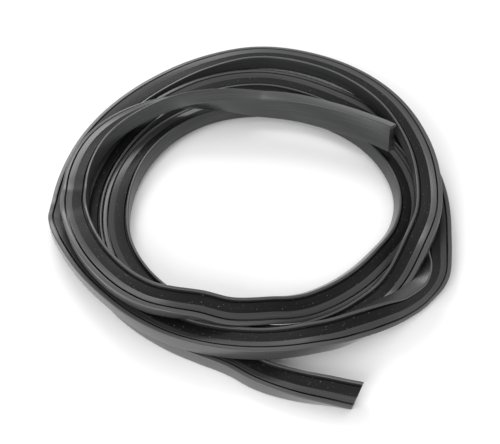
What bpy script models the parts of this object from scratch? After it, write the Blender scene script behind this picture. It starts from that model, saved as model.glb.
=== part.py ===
import math

import bmesh
import bpy
from mathutils import Vector

MM = 0.001

# The section of the strip, from its inner edge (towards the coil's eye) to its outer edge.
strip_width = 13.0 * MM
strip_height = 7.5 * MM
lip_width = 1.4 * MM
groove_width = 1.1 * MM
shoulder_width = 2.9 * MM
slit_width = 0.8 * MM
wall_width = 2.1 * MM
face_drop = 1.0 * MM
shoulder_drop = 0.15 * MM
groove_drop = 1.9 * MM
slit_depth = 3.2 * MM
groove_lean = 0.25 * MM
back_corner = 0.6 * MM
top_corner = 0.45 * MM

# The loose coil: lane 0 is the innermost ring, level 0 lies on the floor.
eye_radius = 66.0 * MM
turn_gap = 0.4 * MM
layer_gap = 0.5 * MM
slice_angle = 6.0
tangent_angle = 1.5
cut_skew = 17.0

# Where the strip runs, from its upper end to its floor end:
# (heading round the coil in degrees, lane, level, roll in degrees, outer edge down)
route = [
    (27, 1.04, 1.38, 118),
    (40, 0.41, 1.38, 114),
    (55, -0.04, 1.36, 108),
    (70, -0.21, 1.35, 100),
    (90, -0.22, 1.36, 88),
    (110, 0.25, 1.36, 64),
    (130, 1.09, 1.20, 38),
    (155, 1.87, 1.07, 18),
    (172, 1.92, 1.15, 10),
    (180, 1.88, 1.23, 8),
    (185, 1.87, 1.62, 5),
    (191, 1.84, 1.98, 4),
    (198, 1.79, 2.08, 3),
    (215, 1.63, 2.09, 5),
    (228, 1.48, 2.09, 8),
    (235, 1.34, 2.09, 10),
    (241, 1.14, 2.08, 13),
    (250, 0.80, 1.80, 22),
    (260, 0.62, 1.30, 31),
    (270, 0.40, 0.96, 38),
    (276, 0.27, 0.68, 39),
    (282, 0.19, 0.33, 40),
    (288, 0.14, 0.09, 40),
    (294, 0.13, 0.00, 39),
    (300, 0.14, 0.00, 38),
    (315, 0.20, 0.00, 36),
    (330, 0.34, 0.00, 32),
    (345, 0.66, 0.00, 26),
    (360, 0.87, 0.00, 20),
    (390, 0.92, 0.0, 12),
    (420, 0.77, 0.0, 10),
    (450, 0.62, 0.0, 12),
    (480, 0.43, 0.0, 20),
    (510, 0.32, 0.0, 18),
    (540, 0.37, 0.0, 3),
    (560, 0.47, 0.0, 0),
    (580, 0.51, 0.0, 0),
    (603, 0.58, 0.0, 0),
    (615, 0.70, 0.0, 0),
    (625, 0.88, 0.0, 0),
    (633, 1.07, 0.0, 0),
    (642, 1.18, 0.0, 0),
    (650, 1.20, 0.0, 0),
    (660, 1.22, 0.0, 0),
    (675, 1.25, 0.0, 0),
    (680, 1.30, 0.17, 0),
    (686, 1.34, 0.62, 0),
    (692, 1.34, 1.07, 0),
    (698, 1.36, 1.38, 0),
    (704, 1.42, 1.43, 0),
    (711, 1.51, 1.32, 0),
    (720, 1.60, 1.14, 0),
    (745, 2.01, 1.0, 5),
    (765, 2.50, 0.90, 9),
    (775, 2.76, 0.74, 10),
    (790, 3.10, 0.47, 13),
    (810, 3.28, 0.31, 14),
    (825, 3.07, 0.17, 10),
    (840, 2.82, 0.05, 5),
    (855, 2.63, 0.0, 2),
    (870, 2.49, 0.0, 0),
    (885, 2.39, 0.00, 0),
    (898, 2.39, 0.00, 0),
    (903, 2.41, 0.23, 0),
    (908, 2.40, 0.78, 0),
    (913, 2.31, 0.97, 0),
    (919, 2.15, 0.99, 1),
    (930, 1.93, 0.99, 3),
    (940, 1.78, 0.99, 3),
    (950, 1.72, 0.99, 2),
    (960, 1.69, 0.99, 0),
    (990, 1.61, 0.99, 0),
    (1005, 1.67, 0.99, 5),
    (1014, 1.75, 0.82, 14),
    (1022, 1.81, 0.62, 30),
    (1030, 1.93, 0.40, 50),
    (1038, 2.09, 0.12, 70),
    (1045, 2.25, 0.00, 70),
    (1053, 2.32, 0.00, 38),
    (1060, 2.16, 0.00, 14),
    (1067, 2.04, 0.00, 2),
    (1076, 1.97, 0.00, 0),
    (1086, 1.96, 0.00, 0),
    (1098, 1.97, 0.00, 0),
    (1110, 1.96, 0.00, 0),
    (1140, 1.84, 0.0, 0),
    (1170, 2.11, 0.0, 0),
    (1185, 2.0, 0.0, 0),
    (1200, 1.76, 0.0, 0),
    (1215, 1.54, 0.0, 0),
    (1230, 1.40, 0.0, 0),
    (1260, 1.39, 0.0, 0),
    (1280, 1.46, 0.0, 0),
    (1300, 1.51, 0.0, 0),
    (1323, 1.58, 0.0, 0),
    (1335, 1.71, 0.0, 0),
    (1340, 1.82, 0.0, 0),
    (1345, 2.04, 0.0, 0),
    (1350, 2.41, 0.0, 0),
    (1360, 3.09, 0.0, 12),
    (1367, 3.61, 0.0, 25),
    (1372, 4.10, 0.0, 32),
]


def section():
    """The outline of the strip as (outward, upward) from the middle of its box, anticlockwise."""
    inner = -strip_width / 2
    outer = strip_width / 2
    top = strip_height / 2
    lip_end = inner + lip_width
    groove_end = lip_end + groove_width
    wall_start = outer - wall_width
    slit_start = wall_start - slit_width
    shoulder_start = slit_start - shoulder_width
    return [
        (inner + back_corner, -top),
        (outer - back_corner, -top),
        (outer, -top + back_corner),
        (outer, top - top_corner),
        (outer - top_corner, top),
        (wall_start, top),
        (wall_start, top - slit_depth),
        (slit_start, top - slit_depth),
        (slit_start, top - shoulder_drop),
        (shoulder_start, top - face_drop),
        (groove_end, top - face_drop),
        (groove_end - groove_lean, top - groove_drop),
        (lip_end, top - groove_drop),
        (lip_end, top - top_corner),
        (lip_end - top_corner, top),
        (inner + top_corner, top),
        (inner, top - top_corner),
        (inner, -top + back_corner),
    ]


def slope(column, k, keeps_flat):
    """How fast a column of the route changes at its station k, per degree."""
    if k == 0:
        return (route[1][column] - route[0][column]) / (route[1][0] - route[0][0])
    if k == len(route) - 1:
        return (route[k][column] - route[k - 1][column]) / (route[k][0] - route[k - 1][0])
    before = route[k][0] - route[k - 1][0]
    after = route[k + 1][0] - route[k][0]
    rise_before = (route[k][column] - route[k - 1][column]) / before
    rise_after = (route[k + 1][column] - route[k][column]) / after
    if keeps_flat and rise_before * rise_after <= 0:
        return 0.0
    return (rise_before * after + rise_after * before) / (before + after)


def at(heading, column, keeps_flat=False):
    """A column of the route at any heading, on a smooth curve through the stations."""
    k = 0
    while k < len(route) - 2 and heading > route[k + 1][0]:
        k += 1
    span = route[k + 1][0] - route[k][0]
    t = (heading - route[k][0]) / span
    start = (2 * t**3 - 3 * t**2 + 1) * route[k][column]
    start += (t**3 - 2 * t**2 + t) * span * slope(column, k, keeps_flat)
    end = (3 * t**2 - 2 * t**3) * route[k + 1][column]
    end += (t**3 - t**2) * span * slope(column, k + 1, keeps_flat)
    return start + end


def middle(heading):
    """The middle of the strip's section at this heading."""
    radius = eye_radius + at(heading, 1) * (strip_width + turn_gap)
    roll = math.radians(at(heading, 3, True))
    half = strip_width / 2 * abs(math.sin(roll)) + strip_height / 2 * abs(math.cos(roll))
    height = at(heading, 2, True) * (strip_height + layer_gap) + half
    angle = math.radians(heading)
    return Vector((radius * math.cos(angle), radius * math.sin(angle), height))


def ring(heading):
    """The section's points where the strip passes this heading. Both ends are cut askew."""
    first = max(heading - tangent_angle, route[0][0])
    last = min(heading + tangent_angle, route[-1][0])
    along = (middle(last) - middle(first)).normalized()
    side = Vector((along.y, -along.x, 0)).normalized()
    up = side.cross(along)
    roll = math.radians(at(heading, 3, True))
    outward = side * math.cos(roll) - up * math.sin(roll)
    upward = side * math.sin(roll) + up * math.cos(roll)
    if heading in (route[0][0], route[-1][0]):
        outward -= along * math.tan(math.radians(cut_skew))
    centre = middle(heading)
    return [centre + outward * a + upward * b for a, b in section()]


def put_origin_under_middle(shape):
    """Slides the coil level, so that the origin is on the floor under the middle of its box."""
    across = [vert.co.x for vert in shape.verts]
    deep = [vert.co.y for vert in shape.verts]
    middle_x = (min(across) + max(across)) / 2
    middle_y = (min(deep) + max(deep)) / 2
    lowest = min(vert.co.z for vert in shape.verts)
    bmesh.ops.translate(shape, verts=shape.verts[:], vec=(-middle_x, -middle_y, -lowest))


def strip_mesh():
    whole = route[-1][0] - route[0][0]
    slices = round(whole / slice_angle)
    shape = bmesh.new()
    rings = []
    for k in range(slices + 1):
        heading = route[0][0] + whole * k / slices
        rings.append([shape.verts.new(point) for point in ring(heading)])
    for here, there in zip(rings, rings[1:]):
        for k in range(len(here)):
            n = (k + 1) % len(here)
            shape.faces.new((here[k], there[k], there[n], here[n]))
    shape.faces.new(rings[0])
    shape.faces.new(reversed(rings[-1]))
    bmesh.ops.triangulate(shape, faces=shape.faces[:])
    bmesh.ops.recalc_face_normals(shape, faces=shape.faces[:])
    put_origin_under_middle(shape)
    mesh = bpy.data.meshes.new("seal_strip")
    shape.to_mesh(mesh)
    shape.free()
    return mesh


for old in list(bpy.data.objects):
    bpy.data.objects.remove(old)

rubber = bpy.data.materials.new("black_rubber")
rubber.use_nodes = True
look = rubber.node_tree.nodes["Principled BSDF"]
look.inputs["Base Color"].default_value = (0.02, 0.02, 0.022, 1.0)
look.inputs["Roughness"].default_value = 0.45

seal_strip = bpy.data.objects.new("seal_strip", strip_mesh())
seal_strip.data.materials.append(rubber)
bpy.context.scene.collection.objects.link(seal_strip)
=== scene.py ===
import math

import bmesh
import bpy
from mathutils import Matrix, Vector


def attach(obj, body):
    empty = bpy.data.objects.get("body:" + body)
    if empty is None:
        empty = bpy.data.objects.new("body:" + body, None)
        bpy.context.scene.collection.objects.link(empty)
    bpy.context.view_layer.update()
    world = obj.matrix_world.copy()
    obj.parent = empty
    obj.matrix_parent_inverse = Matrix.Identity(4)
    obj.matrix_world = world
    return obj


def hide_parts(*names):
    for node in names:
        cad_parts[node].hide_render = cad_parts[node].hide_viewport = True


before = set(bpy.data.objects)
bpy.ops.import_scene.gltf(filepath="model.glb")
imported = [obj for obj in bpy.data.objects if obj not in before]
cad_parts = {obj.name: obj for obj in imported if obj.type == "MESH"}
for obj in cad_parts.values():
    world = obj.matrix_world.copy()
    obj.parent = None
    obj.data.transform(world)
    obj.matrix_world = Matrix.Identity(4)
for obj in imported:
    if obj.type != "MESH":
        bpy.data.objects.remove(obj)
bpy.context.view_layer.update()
mm = 0.001

# The strip's section and coil, the same as in the part's source.
strip = {
    "width": 13.0 * mm,
    "height": 7.5 * mm,
    "lipWidth": 1.4 * mm,
    "grooveWidth": 1.1 * mm,
    "shoulderWidth": 2.9 * mm,
    "slitWidth": 0.8 * mm,
    "wallWidth": 2.1 * mm,
    "faceDrop": 1.0 * mm,
    "shoulderDrop": 0.15 * mm,
    "grooveDrop": 1.9 * mm,
    "slitDepth": 3.2 * mm,
    "grooveLean": 0.25 * mm,
    "backCorner": 0.6 * mm,
    "topCorner": 0.45 * mm,
    "smallCorner": 0.16 * mm,
    "cornerSteps": 3,
    "eyeRadius": 66.0 * mm,
    "turnGap": 0.4 * mm,
    "layerGap": 0.5 * mm,
    "stepAngle": 1.25,
    "tangentAngle": 1.5,
    "cutSkew": 17.0,
    "endReach": 8.0 * mm,
    "sharpAngle": 38.0,
}

# (heading round the coil in degrees, lane, level, roll in degrees, outer edge down)
route = [
    (27, 1.04, 1.38, 118), (40, 0.41, 1.38, 114), (55, -0.04, 1.36, 108),
    (70, -0.21, 1.35, 100), (90, -0.22, 1.36, 88), (110, 0.25, 1.36, 64),
    (130, 1.09, 1.20, 38), (155, 1.87, 1.07, 18), (172, 1.92, 1.15, 10),
    (180, 1.88, 1.23, 8), (185, 1.87, 1.62, 5), (191, 1.84, 1.98, 4),
    (198, 1.79, 2.08, 3), (215, 1.63, 2.09, 5), (228, 1.48, 2.09, 8),
    (235, 1.34, 2.09, 10), (241, 1.14, 2.08, 13), (250, 0.80, 1.80, 22),
    (260, 0.62, 1.30, 31), (270, 0.40, 0.96, 38), (276, 0.27, 0.68, 39),
    (282, 0.19, 0.33, 40), (288, 0.14, 0.09, 40), (294, 0.13, 0.00, 39),
    (300, 0.14, 0.00, 38), (315, 0.20, 0.00, 36), (330, 0.34, 0.00, 32),
    (345, 0.66, 0.00, 26), (360, 0.87, 0.00, 20), (390, 0.92, 0.0, 12),
    (420, 0.77, 0.0, 10), (450, 0.62, 0.0, 12), (480, 0.43, 0.0, 20),
    (510, 0.32, 0.0, 18), (540, 0.37, 0.0, 3), (560, 0.47, 0.0, 0),
    (580, 0.51, 0.0, 0), (603, 0.58, 0.0, 0), (615, 0.70, 0.0, 0),
    (625, 0.88, 0.0, 0), (633, 1.07, 0.0, 0), (642, 1.18, 0.0, 0),
    (650, 1.20, 0.0, 0), (660, 1.22, 0.0, 0), (675, 1.25, 0.0, 0),
    (680, 1.30, 0.17, 0), (686, 1.34, 0.62, 0), (692, 1.34, 1.07, 0),
    (698, 1.36, 1.38, 0), (704, 1.42, 1.43, 0), (711, 1.51, 1.32, 0),
    (720, 1.60, 1.14, 0), (745, 2.01, 1.0, 5), (765, 2.50, 0.90, 9),
    (775, 2.76, 0.74, 10), (790, 3.10, 0.47, 13), (810, 3.28, 0.31, 14),
    (825, 3.07, 0.17, 10), (840, 2.82, 0.05, 5), (855, 2.63, 0.0, 2),
    (870, 2.49, 0.0, 0), (885, 2.39, 0.00, 0), (898, 2.39, 0.00, 0),
    (903, 2.41, 0.23, 0), (908, 2.40, 0.78, 0), (913, 2.31, 0.97, 0),
    (919, 2.15, 0.99, 1), (930, 1.93, 0.99, 3), (940, 1.78, 0.99, 3),
    (950, 1.72, 0.99, 2), (960, 1.69, 0.99, 0), (990, 1.61, 0.99, 0),
    (1005, 1.67, 0.99, 5), (1014, 1.75, 0.82, 14), (1022, 1.81, 0.62, 30),
    (1030, 1.93, 0.40, 50), (1038, 2.09, 0.12, 70), (1045, 2.25, 0.00, 70),
    (1053, 2.32, 0.00, 38), (1060, 2.16, 0.00, 14), (1067, 2.04, 0.00, 2),
    (1076, 1.97, 0.00, 0), (1086, 1.96, 0.00, 0), (1098, 1.97, 0.00, 0),
    (1110, 1.96, 0.00, 0), (1140, 1.84, 0.0, 0), (1170, 2.11, 0.0, 0),
    (1185, 2.0, 0.0, 0), (1200, 1.76, 0.0, 0), (1215, 1.54, 0.0, 0),
    (1230, 1.40, 0.0, 0), (1260, 1.39, 0.0, 0), (1280, 1.46, 0.0, 0),
    (1300, 1.51, 0.0, 0), (1323, 1.58, 0.0, 0), (1335, 1.71, 0.0, 0),
    (1340, 1.82, 0.0, 0), (1345, 2.04, 0.0, 0), (1350, 2.41, 0.0, 0),
    (1360, 3.09, 0.0, 12), (1367, 3.61, 0.0, 25), (1372, 4.10, 0.0, 32),
]


def slope(column, k, keepsFlat):
    if k == 0:
        return (route[1][column] - route[0][column]) / (route[1][0] - route[0][0])
    if k == len(route) - 1:
        return (route[k][column] - route[k - 1][column]) / (route[k][0] - route[k - 1][0])
    before = route[k][0] - route[k - 1][0]
    after = route[k + 1][0] - route[k][0]
    riseBefore = (route[k][column] - route[k - 1][column]) / before
    riseAfter = (route[k + 1][column] - route[k][column]) / after
    if keepsFlat and riseBefore * riseAfter <= 0:
        return 0.0
    return (riseBefore * after + riseAfter * before) / (before + after)


def at(heading, column, keepsFlat=False):
    # a column of the route at any heading, on a smooth curve through the stations
    k = 0
    while k < len(route) - 2 and heading > route[k + 1][0]:
        k += 1
    span = route[k + 1][0] - route[k][0]
    t = (heading - route[k][0]) / span
    start = (2 * t**3 - 3 * t**2 + 1) * route[k][column]
    start += (t**3 - 2 * t**2 + t) * span * slope(column, k, keepsFlat)
    end = (3 * t**2 - 2 * t**3) * route[k + 1][column]
    end += (t**3 - t**2) * span * slope(column, k + 1, keepsFlat)
    return start + end


def middle(heading):
    radius = strip["eyeRadius"] + at(heading, 1) * (strip["width"] + strip["turnGap"])
    roll = math.radians(at(heading, 3, True))
    half = strip["width"] / 2 * abs(math.sin(roll)) + strip["height"] / 2 * abs(math.cos(roll))
    height = at(heading, 2, True) * (strip["height"] + strip["layerGap"]) + half
    angle = math.radians(heading)
    return Vector((radius * math.cos(angle), radius * math.sin(angle), height))


def roundedOutline():
    # the section as (outward, upward) points, each corner turned with its own radius
    inner = -strip["width"] / 2
    outer = strip["width"] / 2
    top = strip["height"] / 2
    lipEnd = inner + strip["lipWidth"]
    grooveEnd = lipEnd + strip["grooveWidth"]
    wallStart = outer - strip["wallWidth"]
    slitStart = wallStart - strip["slitWidth"]
    shoulderStart = slitStart - strip["shoulderWidth"]
    big = strip["backCorner"]
    soft = strip["topCorner"]
    small = strip["smallCorner"]
    corners = [
        (inner, -top, big), (outer, -top, big), (outer, top, soft), (wallStart, top, small),
        (wallStart, top - strip["slitDepth"], small), (slitStart, top - strip["slitDepth"], small),
        (slitStart, top - strip["shoulderDrop"], small),
        (shoulderStart, top - strip["faceDrop"], small),
        (grooveEnd, top - strip["faceDrop"], small),
        (grooveEnd - strip["grooveLean"], top - strip["grooveDrop"], small),
        (lipEnd, top - strip["grooveDrop"], small),
        (lipEnd, top, soft), (inner, top, soft),
    ]
    points = []
    steps = strip["cornerSteps"]
    for k, (x, y, radius) in enumerate(corners):
        here = Vector((x, y))
        before = Vector(corners[k - 1][:2]) - here
        after = Vector(corners[(k + 1) % len(corners)][:2]) - here
        start = here + before.normalized() * radius
        finish = here + after.normalized() * radius
        for n in range(steps + 1):
            t = n / steps
            points.append((1 - t) ** 2 * start + 2 * t * (1 - t) * here + t**2 * finish)
    return points


def sectionObject():
    outline = roundedOutline()
    mesh = bpy.data.meshes.new("stripSection")
    links = [(k, (k + 1) % len(outline)) for k in range(len(outline))]
    mesh.from_pydata([(p.x, -p.y, 0) for p in reversed(outline)], links, [])
    made = bpy.data.objects.new("stripSection", mesh)
    bpy.context.scene.collection.objects.link(made)
    return made


def pathObject():
    first, last = route[0][0], route[-1][0]
    steps = round((last - first) / strip["stepAngle"])
    headings = [first + (last - first) * k / steps for k in range(steps + 1)]
    mesh = bpy.data.meshes.new("sealStrip")
    mesh.from_pydata([middle(h) for h in headings], [(k, k + 1) for k in range(steps)], [])
    roll = mesh.attributes.new("roll", "FLOAT", "POINT")
    roll.data.foreach_set("value", [math.radians(at(h, 3, True)) for h in headings])
    made = bpy.data.objects.new("sealStrip", mesh)
    bpy.context.scene.collection.objects.link(made)
    return made


def stripTree():
    # sweeps the section along the path and keeps where each point is along and across the strip
    tree = bpy.data.node_groups.new("stripSweep", "GeometryNodeTree")
    face = tree.interface
    face.new_socket("Path", in_out="INPUT", socket_type="NodeSocketGeometry")
    face.new_socket("Section", in_out="INPUT", socket_type="NodeSocketObject")
    face.new_socket("Material", in_out="INPUT", socket_type="NodeSocketMaterial")
    face.new_socket("Strip", in_out="OUTPUT", socket_type="NodeSocketGeometry")
    nodes, links = tree.nodes, tree.links
    start = nodes.new("NodeGroupInput")
    end = nodes.new("NodeGroupOutput")
    curve = nodes.new("GeometryNodeMeshToCurve")
    normal = nodes.new("GeometryNodeSetCurveNormal")
    normal.mode = "Z_UP"
    tilt = nodes.new("GeometryNodeSetCurveTilt")
    roll = nodes.new("GeometryNodeInputNamedAttribute")
    roll.data_type = "FLOAT"
    roll.inputs["Name"].default_value = "roll"
    spline = nodes.new("GeometryNodeSplineParameter")
    along = nodes.new("GeometryNodeStoreNamedAttribute")
    along.data_type = "FLOAT"
    along.domain = "POINT"
    along.inputs["Name"].default_value = "along"
    info = nodes.new("GeometryNodeObjectInfo")
    outline = nodes.new("GeometryNodeMeshToCurve")
    place = nodes.new("GeometryNodeInputPosition")
    mirror = nodes.new("ShaderNodeVectorMath")
    mirror.operation = "MULTIPLY"
    mirror.inputs[1].default_value = (1, -1, 1)
    across = nodes.new("GeometryNodeStoreNamedAttribute")
    across.data_type = "FLOAT_VECTOR"
    across.domain = "POINT"
    across.inputs["Name"].default_value = "across"
    sweep = nodes.new("GeometryNodeCurveToMesh")
    sweep.inputs["Fill Caps"].default_value = True
    real = nodes.new("GeometryNodeRealizeInstances")
    paint = nodes.new("GeometryNodeSetMaterial")
    links.new(start.outputs["Path"], curve.inputs["Mesh"])
    links.new(curve.outputs["Curve"], normal.inputs["Curve"])
    links.new(normal.outputs["Curve"], tilt.inputs["Curve"])
    links.new(roll.outputs["Attribute"], tilt.inputs["Tilt"])
    links.new(tilt.outputs["Curve"], along.inputs["Geometry"])
    links.new(spline.outputs["Length"], along.inputs["Value"])
    links.new(start.outputs["Section"], info.inputs["Object"])
    links.new(info.outputs["Geometry"], outline.inputs["Mesh"])
    links.new(outline.outputs["Curve"], across.inputs["Geometry"])
    links.new(place.outputs["Position"], mirror.inputs[0])
    links.new(mirror.outputs[0], across.inputs["Value"])
    links.new(along.outputs["Geometry"], sweep.inputs["Curve"])
    links.new(across.outputs["Geometry"], sweep.inputs["Profile Curve"])
    links.new(sweep.outputs["Mesh"], real.inputs["Geometry"])
    links.new(real.outputs["Geometry"], paint.inputs["Geometry"])
    links.new(start.outputs["Material"], paint.inputs["Material"])
    links.new(paint.outputs["Geometry"], end.inputs["Strip"])
    return tree


rubber = {
    # tones of one black rubber: the lip and wall tops and the outer side hold painted sheen, the
    # groove, sunk face, shoulder and inner side painted shade
    "innerSideShade": (0.019, 0.020, 0.020, 1),
    "outerSideSheen": (0.060, 0.061, 0.061, 1),
    "wallTopSheen": (0.048, 0.050, 0.047, 1),
    "shoulderShade": (0.022, 0.022, 0.023, 1),
    "sunkFaceShade": (0.003, 0.0027, 0.0034, 1),
    "grooveShade": (0.0015, 0.0015, 0.002, 1),
    "lipTopSheen": (0.045, 0.046, 0.046, 1),
    "backColor": (0.027, 0.0285, 0.028, 1),
    "dustColor": (0.32, 0.31, 0.32, 1),
    "bloomColor": (0.06, 0.06, 0.06, 1),
    "bloomShare": 0.18,
    # the streaks are the strip's real drawn lines, lightened with painted sheen
    "drawnLineSheen": (0.10, 0.10, 0.10, 1),
    "lineSheenShare": 0.16,
    "dustShare": 0.8,
    "faceCalm": 0.75,
    "plainShine": 0.55,
    "faceShine": 0.12,
    "innerShine": 0.65,
    "outerShine": 1.0,
    "shineRoughness": 0.32,
    "shineIndex": 1.6,
    "baseSpecular": 0.1,
    "plainRoughness": 0.28,
    "lineRoughness": 0.12,
    "faceRoughness": 0.22,
    "lineScale": 2200,
    "lineStretch": (1, 1, 0.012),
    "streakRange": (0.47, 0.62),
    "bumpStrength": 0.7,
    "lineDepth": 0.05 * mm,
    "bloomScale": 60,
    "bloomStretch": (1, 1, 0.35),
    "bloomRange": (0.35, 0.7),
    "dustScale": 1500,
    "dustStretch": (1, 1, 0.8),
    "dustRange": (0.69, 0.75),
    "bandBlur": 0.08 * mm,
    "wallBlend": 0.3 * mm,
    "sideFrom": 0.3 * mm,
    "sideTo": 0.05 * mm,
    "backFrom": 0.4 * mm,
    "upperReach": 1.0 * mm,
}


def softStep(tree, value, low, high):
    # 0 below low, 1 above high, and smooth between them
    made = tree.nodes.new("ShaderNodeMapRange")
    made.interpolation_type = "SMOOTHSTEP"
    made.inputs["From Min"].default_value = low
    made.inputs["From Max"].default_value = high
    tree.links.new(value, made.inputs["Value"])
    return made.outputs["Result"]


def lineGroup():
    # fine lines drawn along the strip, a soft bloom in patches, and specks of dust
    tree = bpy.data.node_groups.new("drawnLines", "ShaderNodeTree")
    face = tree.interface
    face.new_socket("Place", in_out="INPUT", socket_type="NodeSocketVector")
    face.new_socket("Lines", in_out="OUTPUT", socket_type="NodeSocketFloat")
    face.new_socket("Bloom", in_out="OUTPUT", socket_type="NodeSocketFloat")
    face.new_socket("Dust", in_out="OUTPUT", socket_type="NodeSocketFloat")
    nodes, links = tree.nodes, tree.links
    start = nodes.new("NodeGroupInput")
    end = nodes.new("NodeGroupOutput")

    def noise(scale, stretch, detail, roughness):
        size = nodes.new("ShaderNodeVectorMath")
        size.operation = "MULTIPLY"
        size.inputs[1].default_value = stretch
        made = nodes.new("ShaderNodeTexNoise")
        made.inputs["Scale"].default_value = scale
        made.inputs["Detail"].default_value = detail
        made.inputs["Roughness"].default_value = roughness
        links.new(start.outputs["Place"], size.inputs[0])
        links.new(size.outputs[0], made.inputs["Vector"])
        return made.outputs["Fac"]

    fineLines = noise(rubber["lineScale"], rubber["lineStretch"], detail=3, roughness=0.6)
    patches = noise(rubber["bloomScale"], rubber["bloomStretch"], detail=3, roughness=0.55)
    specks = noise(rubber["dustScale"], rubber["dustStretch"], detail=2, roughness=0.5)
    links.new(fineLines, end.inputs["Lines"])
    links.new(softStep(tree, patches, *rubber["bloomRange"]), end.inputs["Bloom"])
    links.new(softStep(tree, specks, *rubber["dustRange"]), end.inputs["Dust"])
    return tree


def rubberMaterial():
    material = bpy.data.materials.new("satinRubber")
    material.use_nodes = True
    nodes, links = material.node_tree.nodes, material.node_tree.links
    look = nodes["Principled BSDF"]

    def reckon(operation, first, second):
        # one Math node on two sockets or numbers
        made = nodes.new("ShaderNodeMath")
        made.operation = operation
        for k, value in enumerate((first, second)):
            if isinstance(value, (int, float)):
                made.inputs[k].default_value = value
            else:
                links.new(value, made.inputs[k])
        return made.outputs[0]

    def mix(share, first, second):
        made = nodes.new("ShaderNodeMix")
        made.data_type = "RGBA"
        for key, value in (("Factor", share), ("A", first), ("B", second)):
            socket = [s for s in made.inputs if s.name == key and s.enabled][0]
            if isinstance(value, (int, float, tuple)):
                socket.default_value = value
            else:
                links.new(value, socket)
        return [s for s in made.outputs if s.enabled][0]

    def step(value, low, high):
        return softStep(material.node_tree, value, low, high)

    across = nodes.new("ShaderNodeAttribute")
    across.attribute_name = "across"
    along = nodes.new("ShaderNodeAttribute")
    along.attribute_name = "along"
    apart = nodes.new("ShaderNodeSeparateXYZ")
    links.new(across.outputs["Vector"], apart.inputs[0])
    outward, upward = apart.outputs["X"], apart.outputs["Y"]
    place = nodes.new("ShaderNodeCombineXYZ")
    links.new(outward, place.inputs["X"])
    links.new(upward, place.inputs["Y"])
    links.new(along.outputs["Fac"], place.inputs["Z"])
    lines = nodes.new("ShaderNodeGroup")
    lines.node_tree = lineGroup()
    links.new(place.outputs[0], lines.inputs["Place"])

    outer = strip["width"] / 2
    top = strip["height"] / 2
    blur = rubber["bandBlur"]
    lipEnd = strip["lipWidth"] - outer
    grooveEnd = lipEnd + strip["grooveWidth"]
    wallStart = outer - strip["wallWidth"]
    shoulderStart = wallStart - strip["slitWidth"] - strip["shoulderWidth"]
    # the bands of the top, from the lip outwards, in painted tones: painted sheen on the lip and
    # wall tops, painted shade in the groove, the sunk face and on the shoulder
    color = rubber["lipTopSheen"]
    for start, paint in ((lipEnd, "grooveShade"), (grooveEnd, "sunkFaceShade"),
                         (shoulderStart, "shoulderShade"),
                         (wallStart - rubber["wallBlend"], "wallTopSheen")):
        color = mix(step(outward, start - blur, start + blur), color, rubber[paint])
    # the two sides and the back: the outer side painted lighter with painted sheen, the inner side
    # painted darker with painted shade
    sideFrom = outer - rubber["sideFrom"]
    sideTo = outer - rubber["sideTo"]
    outerSide = step(outward, sideFrom, sideTo)
    innerSide = step(reckon("MULTIPLY", outward, -1.0), sideFrom, sideTo)
    color = mix(outerSide, color, rubber["outerSideSheen"])
    color = mix(innerSide, color, rubber["innerSideShade"])
    downward = reckon("MULTIPLY", upward, -1.0)
    back = step(downward, top - rubber["backFrom"], top - rubber["sideTo"])
    color = mix(back, color, rubber["backColor"])
    # the sunk face and its groove are dull and dusty, the rest has the bloom and the streaks, which
    # are real drawn lines painted lighter with their sheen
    upper = step(upward, 0.0, rubber["upperReach"])
    pastLip = step(outward, lipEnd - blur, lipEnd + blur)
    onShoulder = step(outward, shoulderStart, shoulderStart + blur)
    sunk = reckon("MULTIPLY", pastLip, reckon("SUBTRACT", 1.0, onShoulder))
    onFace = reckon("MULTIPLY", sunk, upper)
    calm = reckon("SUBTRACT", 1.0, reckon("MULTIPLY", onFace, rubber["faceCalm"]))
    bloom = reckon("MULTIPLY", lines.outputs["Bloom"], rubber["bloomShare"])
    color = mix(reckon("MULTIPLY", bloom, calm), color, rubber["bloomColor"])
    # streaks: real drawn lines, made lighter with painted sheen
    streak = step(lines.outputs["Lines"], *rubber["streakRange"])
    streak = reckon("MULTIPLY", streak, rubber["lineSheenShare"])
    color = mix(reckon("MULTIPLY", streak, calm), color, rubber["drawnLineSheen"])
    dust = reckon("MULTIPLY", onFace, lines.outputs["Dust"])
    color = mix(reckon("MULTIPLY", dust, rubber["dustShare"]), color, rubber["dustColor"])
    links.new(color, look.inputs["Base Color"])

    drawn = reckon("MULTIPLY", lines.outputs["Lines"], rubber["lineRoughness"])
    rough = reckon("ADD", drawn, rubber["plainRoughness"])
    rough = reckon("ADD", rough, reckon("MULTIPLY", onFace, rubber["faceRoughness"]))
    links.new(rough, look.inputs["Roughness"])
    toFace = reckon("MULTIPLY", onFace, rubber["faceShine"] - rubber["plainShine"])
    toOuter = reckon("MULTIPLY", outerSide, rubber["outerShine"] - rubber["plainShine"])
    toInner = reckon("MULTIPLY", innerSide, rubber["innerShine"] - rubber["plainShine"])
    shine = reckon("ADD", reckon("ADD", toOuter, toInner), toFace)
    shine = reckon("ADD", shine, rubber["plainShine"])
    links.new(shine, look.inputs["Coat Weight"])
    look.inputs["Coat Roughness"].default_value = rubber["shineRoughness"]
    look.inputs["Coat IOR"].default_value = rubber["shineIndex"]
    look.inputs["Specular IOR Level"].default_value = rubber["baseSpecular"]
    bump = nodes.new("ShaderNodeBump")
    bump.inputs["Strength"].default_value = rubber["bumpStrength"]
    bump.inputs["Distance"].default_value = rubber["lineDepth"]
    links.new(lines.outputs["Lines"], bump.inputs["Height"])
    links.new(bump.outputs["Normal"], look.inputs["Normal"])
    return material


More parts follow.
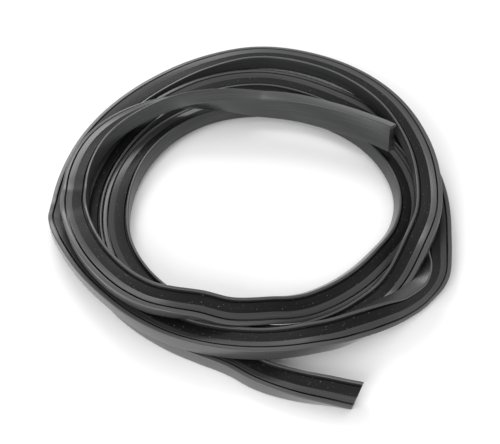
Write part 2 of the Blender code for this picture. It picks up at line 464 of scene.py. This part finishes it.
def sweptStrip(material):
    path = pathObject()
    section = sectionObject()
    tree = stripTree()
    modifier = path.modifiers.new("sweep", "NODES")
    modifier.node_group = tree
    ids = {s.name: s.identifier for s in tree.interface.items_tree if s.in_out == "INPUT"}
    modifier[ids["Section"]] = section
    modifier[ids["Material"]] = material
    graph = bpy.context.evaluated_depsgraph_get()
    mesh = bpy.data.meshes.new_from_object(path.evaluated_get(graph))
    path.modifiers.remove(modifier)
    path.data = mesh
    bpy.data.objects.remove(section)
    return path


def skewEnds(piece):
    # both ends are cut askew: the outer edge ends earlier along the strip than the inner one
    lean = math.tan(math.radians(strip["cutSkew"]))
    across = piece.data.attributes["across"].data
    along = piece.data.attributes["along"].data
    longest = max(a.value for a in along)
    for heading, place in ((route[0][0], 0.0), (route[-1][0], longest)):
        first = middle(max(heading - strip["tangentAngle"], route[0][0]))
        last = middle(min(heading + strip["tangentAngle"], route[-1][0]))
        step = (last - first).normalized() * lean
        for k, vertex in enumerate(piece.data.vertices):
            share = 1 - abs(along[k].value - place) / strip["endReach"]
            if share > 0:
                vertex.co -= step * across[k].vector[0] * share


def centred(piece):
    # puts the origin on the floor under the middle, as the source does, and says how far it slid
    xs = [v.co.x for v in piece.data.vertices]
    ys = [v.co.y for v in piece.data.vertices]
    lowest = min(v.co.z for v in piece.data.vertices)
    slide = Vector((-(min(xs) + max(xs)) / 2, -(min(ys) + max(ys)) / 2, -lowest))
    piece.data.transform(Matrix.Translation(slide))
    return slide


satinRubber = rubberMaterial()
print("rubber", len(satinRubber.node_tree.nodes), "nodes")
sealStrip = sweptStrip(satinRubber)
skewEnds(sealStrip)
slide = centred(sealStrip)
for polygon in sealStrip.data.polygons:
    polygon.use_smooth = True
sealStrip.data.set_sharp_from_angle(angle=math.radians(strip["sharpAngle"]))
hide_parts("seal_strip")
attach(sealStrip, "root")
print("strip", len(sealStrip.data.vertices), "points, slide", tuple(round(v / mm, 2) for v in slide))

studio = {
    "cameraPlace": (-3.09 * mm, -385.67 * mm, 459.62 * mm),
    "cameraTurn": 39.61,
    "lens": 83.88,
    "sensorWidth": 36.0,
    "floorColor": (0.9, 0.9, 0.9, 1),
    "floorRoughness": 0.9,
    "floorSpecular": 0.1,
    "floorReach": 6,
    "floorDrop": 0.2 * mm,
    "worldStrength": 0.9,
    "keyPower": 5.0,
    "keySize": 0.45,
    "keyPlace": (-0.35, 0.85, 0.75),
    "sidePower": 7.5,
    "sideSize": 0.6,
    "sidePlace": (-0.5, -0.9, 0.65),
}


def stagePlane():
    mesh = bpy.data.meshes.new("studioFloor")
    shape = bmesh.new()
    bmesh.ops.create_grid(shape, x_segments=1, y_segments=1, size=studio["floorReach"])
    shape.to_mesh(mesh)
    shape.free()
    floor = bpy.data.objects.new("studioFloor", mesh)
    bpy.context.scene.collection.objects.link(floor)
    paint = bpy.data.materials.new("paleFloor")
    paint.use_nodes = True
    look = paint.node_tree.nodes["Principled BSDF"]
    look.inputs["Base Color"].default_value = studio["floorColor"]
    look.inputs["Roughness"].default_value = studio["floorRoughness"]
    look.inputs["Specular IOR Level"].default_value = studio["floorSpecular"]
    mesh.materials.append(paint)
    floor.location.z = -studio["floorDrop"]


def areaLight(name, place, power, size):
    light = bpy.data.lights.new(name, "AREA")
    light.energy = power
    light.size = size
    made = bpy.data.objects.new(name, light)
    made.location = place
    made.rotation_euler = (-Vector(place)).to_track_quat("-Z", "Y").to_euler()
    bpy.context.scene.collection.objects.link(made)


stagePlane()
areaLight("keyLight", studio["keyPlace"], studio["keyPower"], studio["keySize"])
areaLight("sideLight", studio["sidePlace"], studio["sidePower"], studio["sideSize"])

world = bpy.data.worlds.new("studioWorld")
world.use_nodes = True
backdrop = world.node_tree.nodes["Background"]
backdrop.inputs["Color"].default_value = (1, 1, 1, 1)
backdrop.inputs["Strength"].default_value = studio["worldStrength"]
bpy.context.scene.world = world
bpy.context.scene.view_settings.view_transform = "Standard"

lens = bpy.data.cameras.new("photoCamera")
lens.lens = studio["lens"]
lens.sensor_width = studio["sensorWidth"]
camera = bpy.data.objects.new("photoCamera", lens)
camera.location = Vector(studio["cameraPlace"]) + slide
camera.rotation_euler = (math.radians(studio["cameraTurn"]), 0, 0)
bpy.context.scene.collection.objects.link(camera)
bpy.context.scene.camera = camera
print("studio")
